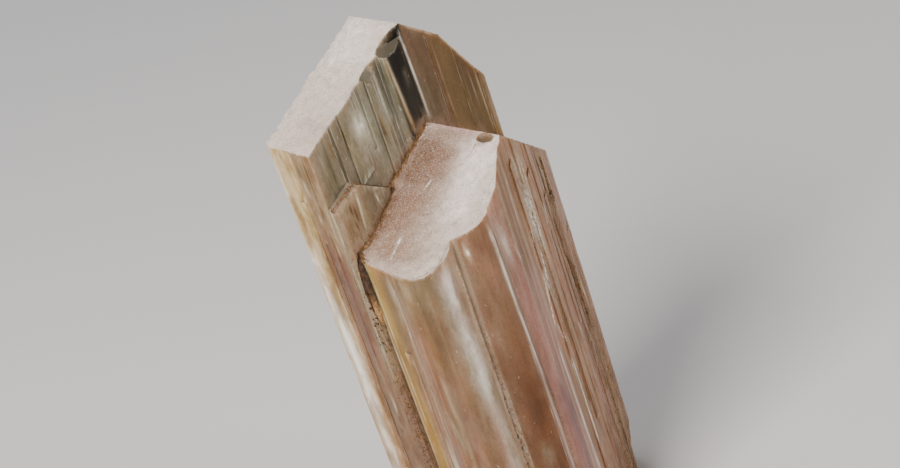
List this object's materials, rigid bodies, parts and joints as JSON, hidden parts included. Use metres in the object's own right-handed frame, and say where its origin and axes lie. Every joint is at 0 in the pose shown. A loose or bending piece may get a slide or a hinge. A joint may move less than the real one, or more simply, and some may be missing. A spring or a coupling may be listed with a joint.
{
  "type": "spodumene crystal",
  "caption": "Natural spodumene specimen: flattened, lengthwise striated crystals grown side by side, with sloping etched ends, standing on a broken base.",
  "frame": {"origin": "centre of the bounding box on the plane of the broken base", "axes": "+Z along the crystals' length towards their terminations, +X across the broad face towards the ribbed side, +Y from the front crystal to the back crystal"},
  "size_m": [0.027, 0.0226, 0.0638],
  "materials": {
    "spodumene": "translucent, striated prism faces and frosted etched ends",
    "clay": "matt, crumbly, iron-stained"
  },
  "bodies": {
    "root": {"spodumene_crystal": "spodumene", "seam_clay": "clay"}
  },
  "joints": []
}
